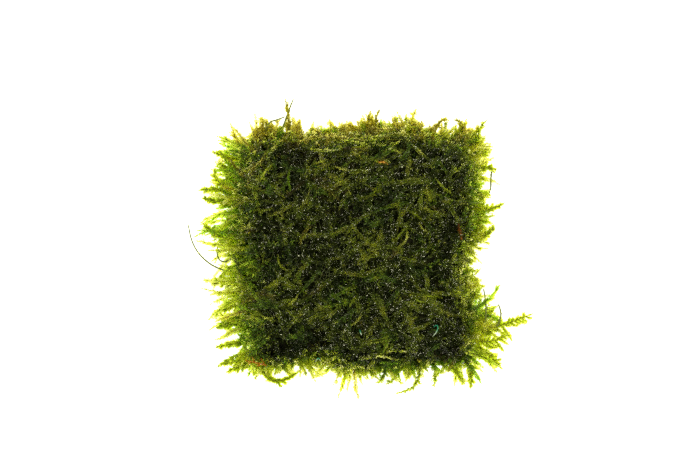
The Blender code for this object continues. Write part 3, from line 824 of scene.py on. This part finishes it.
def make_mat(ground, materials):
    """The mat from its dark inside to its fringe: a tangle of layers, which differ in how they lie."""
    make_core(ground, materials["core"])
    mat = Mat(ground, materials)

    paths = lying_paths(ground, seed=26, count=260, inset=9, depth=0.6, rise=-0.3, length=9)
    strands = Tangle(seed=13)
    strands.add_stems(paths, mat.tones(base=0.5, patches=0.2), BARE)
    strands.make("mat_bare_stems", materials["stem"], "dark_moss", "moss_mat")

    # The low layer starts from a much darker base tone than the top layer (0.13 against 0.4): painted shade
    # deep in the tangle.
    paths = lying_paths(ground, seed=21, count=360, inset=2, depth=1.2, rise=-0.8, length=11)
    twigs = dict(spacing=3.2, length=3.4, angle=48)
    mat.add("mat_shoots_low", paths, "tangle", mat.tones(base=0.13, patches=0.15), roll=0.5, twigs=twigs)

    paths = upright_paths(ground, seed=22, count=1700)
    tones = mat.tones(base=0.23, patches=0.5, tip=0.9)
    mat.add("mat_upright_shoots", paths, "upright", tones, roll=3)

    paths = lying_paths(ground, seed=23, count=300, inset=1.5, depth=2.6, rise=0.3, length=11)
    tones = mat.tones(base=0.21, patches=0.5, tip=0.3)
    twigs = dict(spacing=3.4, length=3, angle=44)
    mat.add("mat_shoots_middle", paths, "tangle", tones, roll=0.5, twigs=twigs)

    shape = dict(inset=1.5, depth=2.6, rise=1.3, length=13, points=8, level=0.6)
    paths = lying_paths(ground, seed=24, count=330, **shape)
    tones = mat.tones(base=0.4, patches=0.5, tip=0.3)
    twigs = dict(spacing=4.5, length=3.2, angle=45)
    mat.add("mat_shoots_top", paths, "comb", tones, roll=0.4, twigs=twigs)

    shape = dict(inset=6, depth=1.6, rise=2.2, length=7, points=7, level=0.5)
    paths = lying_paths(ground, seed=28, count=28, **shape)
    mat.add("mat_bright_shoots", paths, "ridge", lambda points, shares: 0.44 + 0.24 * shares, roll=0.3)

    paths = under_paths(ground, seed=27, spacing=1.45)
    mat.add("mat_shoots_under", paths, "under", mat.tones(base=0.3, patches=0.2), roll=0.4)

    paths = fringe_paths(ground, seed=25, count=660)
    shape = dict(leaves="fringe", tones=mat.tones(base=0.24, patches=0.2), roll=0.3, slot="fresh_frond")
    twigs = dict(spacing=4, length=3, angle=32)
    looks = {"left": "fresh", "bottom": "fresh", "right": "yellow", "top": "yellow"}
    for side, some in sides_of(paths):
        mat.add("fringe_" + side, some, look=looks[side], twigs=twigs, **shape)
    mat.finish()


# The loose shoots. The dead bits have a tone and side shoots of their own, and the others have those of
# feathers or of their kind.

LOOSE = {
    "feather": dict(tone=0.64, twigs=dict(spacing=0.75, length=4.4, angle=52, lean=-0.3)),
    "frond": dict(tone=0.61, twigs=dict(spacing=0.85, length=3.1, angle=40)),
    "sprig": dict(tone=0.50, twigs=dict(spacing=1.5, length=1.8, angle=42)),
    "stem": dict(tone=0.60, twigs=None),
    "dead_sprig": dict(tone=0.70, twigs=dict(spacing=1.4, length=2.6, angle=58)),
    "orange_sprig": dict(tone=0.97, twigs=dict(spacing=1.6, length=1.4, angle=45)),
    "red_stem": dict(tone=0.08, twigs=dict(spacing=1.6, length=1.2, angle=45)),
}
LOOSE_TWIG_SIZE = 0.82  # the same as TWIG_SIZE, for loose shoots
SLOT_KINDS = {"brown_stem": "stem", "dead_leaf": "dead"}  # the other kinds are the last word of the name
OWN_KINDS = {"bottom_left_bowed_stem": "frond", "red_stem": "dead"}
STRAND_SIDES = 6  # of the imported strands
SHOOT_POINTS = 26  # along each loose shoot
GROWN_IN = {"stem": 8, "frond": 3, "sprig": 3}  # how far they carry on into the mat; dead bits don't


def middle_of(node):
    """Points along the middle of a packed strand, from its base to its tip: it has a pointed tip, and then
    rings of corners that can be counted off from the tip."""
    mesh = node.data
    keys = [tuple(round(value, 7) for value in vertex.co) for vertex in mesh.vertices]
    near = {key: set() for key in keys}
    for edge in mesh.edges:
        a, b = (keys[i] for i in edge.vertices)
        near[a].add(b)
        near[b].add(a)
    for tip in near:
        rings, met = [{tip}], {tip}
        while rings[-1]:
            rings.append({other for key in rings[-1] for other in near[key]} - met)
            met |= rings[-1]
        rings.pop()
        if all(len(ring) == STRAND_SIDES for ring in rings[1:]):
            return np.array([np.mean(list(ring), axis=0) for ring in reversed(rings)])
    raise ValueError(node.name + " is not a strand")


def grown_in(line, reach, ground):
    """The line with its base carried on into the mat, sinking as it goes, unless that would miss the mat."""
    back = unit(line[0] - line[2])
    steps = np.linspace(1, 0.25, 4)[:, None]
    starts = line[0] + back * reach * MM * steps
    if ground.inside_at(starts[0]) < 0:
        return line
    starts[:, 2] = np.maximum(line[0][2] * (1 - 0.3 * steps[:, 0]), 0.6 * MM)
    return np.concatenate([starts, line])


def smoothed(line, count):
    """The line as evenly spaced points of a smooth curve through it."""
    for _ in range(3):
        line[1:-1] = 0.5 * line[1:-1] + 0.25 * (line[2:] + line[:-2])
    gone = np.concatenate([[0], np.cumsum(np.linalg.norm(np.diff(line, axis=0), axis=1))])
    wanted = np.linspace(0, gone[-1], count)
    before = np.clip(np.searchsorted(gone, wanted) - 1, 0, len(line) - 2)
    part = ((wanted - gone[before]) / (gone[before + 1] - gone[before]))[:, None]
    ways = np.gradient(line, gone, axis=0)
    span = (gone[before + 1] - gone[before])[:, None]
    start, end = line[before], line[before + 1]
    leaving, arriving = ways[before] * span, ways[before + 1] * span
    square, cube = part ** 2, part ** 3
    return (
        start * (2 * cube - 3 * square + 1)
        + leaving * (cube - 2 * square + part)
        + end * (3 * square - 2 * cube)
        + arriving * (cube - square)
    )


def plain_tones(base):
    """Tones about the base, a little brighter towards the tip."""
    return lambda points, shares: base + 0.12 * (shares - 0.5)


def look_of(kind, words):
    """The material of a loose shoot of the kind, whose name has the words."""
    if kind in ("dead", "stem"):
        return kind
    if words[0] == "top":
        return "olive"
    return "fresh" if "left" in words else "yellow"


def make_loose_shoots(frame, ground, materials):
    """A leafy shoot in place of each packed strand of moss."""
    slots = {part["node"]: part["material_slot"] for part in frame["record"]["subparts"]}
    for order, (name, node) in enumerate(sorted(frame["nodes"].items())):
        if name == "moss_mat" or slots[name] == "green_thread":
            continue
        words = name.rstrip("0123456789_").split("_")
        kind = OWN_KINDS.get(name, SLOT_KINDS.get(slots[name], words[-1]))
        line = middle_of(node)
        if kind in GROWN_IN:
            line = grown_in(line, GROWN_IN[kind], ground)
        paths = smoothed(line, SHOOT_POINTS)[None]
        own = LOOSE[name if name in LOOSE else "feather" if "feather" in words else kind]
        tones = plain_tones(own["tone"])
        style = LEAVES[kind]
        tangle = Tangle(seed=300 + order)
        tangle.add_shoots(paths, tones, style, roll=0.2, sides=6)
        if own["twigs"]:
            twigs = tangle.side_shoots(paths, **own["twigs"])
            tangle.add_shoots(twigs, tones, style, roll=0.3, size=LOOSE_TWIG_SIZE, sides=4)
        tangle.make(name + "_shoot", materials[look_of(kind, words)], slots[name], name)


def make_threads(frame):
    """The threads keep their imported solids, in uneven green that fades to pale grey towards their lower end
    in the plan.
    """
    material = bpy.data.materials.new("thread")
    material.use_nodes = True
    tree = material.node_tree
    shader = tree.nodes["Principled BSDF"]
    noise = tree.nodes.new("ShaderNodeTexNoise")
    set_inputs(noise, {"Scale": 900})
    green = ramp(tree, THREAD_GREEN, noise.outputs["Fac"])
    place = tree.nodes.new("ShaderNodeTexCoord")
    parts = parts_of(tree, place.outputs["Generated"])
    # paler towards the thread's lower end in the plan
    toward_pale_end = mapped(tree, parts["Y"], 0.15, 0.7, 1, 0)
    color = mixed(tree, toward_pale_end, green, THREAD_PALE_END)
    tree.links.new(color, shader.inputs["Base Color"])
    set_inputs(shader, {"Roughness": 0.22})
    for name, node in frame["nodes"].items():
        if name.startswith("thread_"):
            node.data.materials.clear()
            node.data.materials.append(material)


# The table, the light and the camera

SOFTBOX_COLOR = (1, 0.98, 0.68)
VIEW_MIDDLE = (-0.0023, 0.0054)
VIEW_WIDTH = 0.2288
VIEW_DISTANCE = 0.9


def make_stage():
    """A wide white table with an even glow."""
    bpy.ops.mesh.primitive_plane_add(size=6, location=(0, 0, 0))
    floor = bpy.context.object
    floor.name = "floor"
    material = bpy.data.materials.new("floor")
    material.use_nodes = True
    shader = material.node_tree.nodes["Principled BSDF"]
    set_inputs(shader, {"Base Color": (0.9, 0.9, 0.9, 1), "Roughness": 0.6})
    set_inputs(shader, {"Emission Color": (1, 1, 1, 1), "Emission Strength": 1.15})
    material.cycles.emission_sampling = "NONE"  # the table fills the view, so aiming at it only adds noise
    floor.data.materials.append(material)
    floor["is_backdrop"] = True


def add_softbox(name, place, size, power):
    """A lamp that faces the middle of the mat."""
    light = bpy.data.lights.new(name, "AREA")
    light.shape = "RECTANGLE"
    light.size, light.size_y = size
    light.energy = power
    light.color = SOFTBOX_COLOR
    lamp = add_object(name, light)
    lamp.location = place
    lamp.rotation_euler = (-Vector(place)).to_track_quat("-Z", "Y").to_euler()


def make_light():
    """A dim room, pale low down, and softboxes standing off to the sides."""
    world = bpy.data.worlds.new("studio")
    world.use_nodes = True
    tree = world.node_tree
    place = tree.nodes.new("ShaderNodeTexCoord")
    parts = parts_of(tree, place.outputs["Generated"])
    level = mapped(tree, parts["Z"], 0.05, 0.45, 1.0, 0.06)
    tree.links.new(level, tree.nodes["Background"].inputs["Strength"])
    set_inputs(tree.nodes["Background"], {"Color": (1, 1, 1, 1)})
    world.cycles.sampling_method = "NONE"
    bpy.context.scene.world = world
    add_softbox("softbox_left", place=(-0.42, 0.30, 0.70), size=(0.18, 0.18), power=6.5)
    add_softbox("softbox_right", place=(0.48, 0.12, 0.66), size=(0.16, 0.16), power=4.0)
    add_softbox("softbox_front", place=(0.05, -0.52, 0.70), size=(0.18, 0.14), power=3.2)


def make_camera():
    """Straight above the mat, a little off its middle."""
    data = bpy.data.cameras.new("camera")
    data.sensor_width = 36
    data.lens = data.sensor_width * VIEW_DISTANCE / VIEW_WIDTH
    data.clip_start = 0.01
    camera = add_object("camera", data)
    camera.location = (*VIEW_MIDDLE, VIEW_DISTANCE)
    bpy.context.scene.camera = camera


def write_sizes(packed):
    """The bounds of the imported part, and those of the part with its shoots."""
    [[list(corner) for corner in bounds] for bounds in (packed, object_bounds())]


with open("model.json") as file:
    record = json.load(file)
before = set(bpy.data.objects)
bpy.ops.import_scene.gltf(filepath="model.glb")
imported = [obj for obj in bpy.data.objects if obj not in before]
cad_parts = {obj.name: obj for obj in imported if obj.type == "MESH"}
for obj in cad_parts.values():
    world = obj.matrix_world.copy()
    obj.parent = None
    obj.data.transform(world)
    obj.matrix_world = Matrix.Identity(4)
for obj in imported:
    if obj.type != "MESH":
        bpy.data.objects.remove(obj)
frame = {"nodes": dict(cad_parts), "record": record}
packed_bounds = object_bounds()
make_stage()
make_light()
make_camera()
bpy.context.scene.view_settings.view_transform = "Standard"
bpy.context.scene.cycles.use_denoising = False
mat_ground = Ground(frame["nodes"]["moss_mat"])
moss_materials = make_materials()
make_mat(mat_ground, moss_materials)
make_loose_shoots(frame, mat_ground, moss_materials)
make_threads(frame)
write_sizes(packed_bounds)
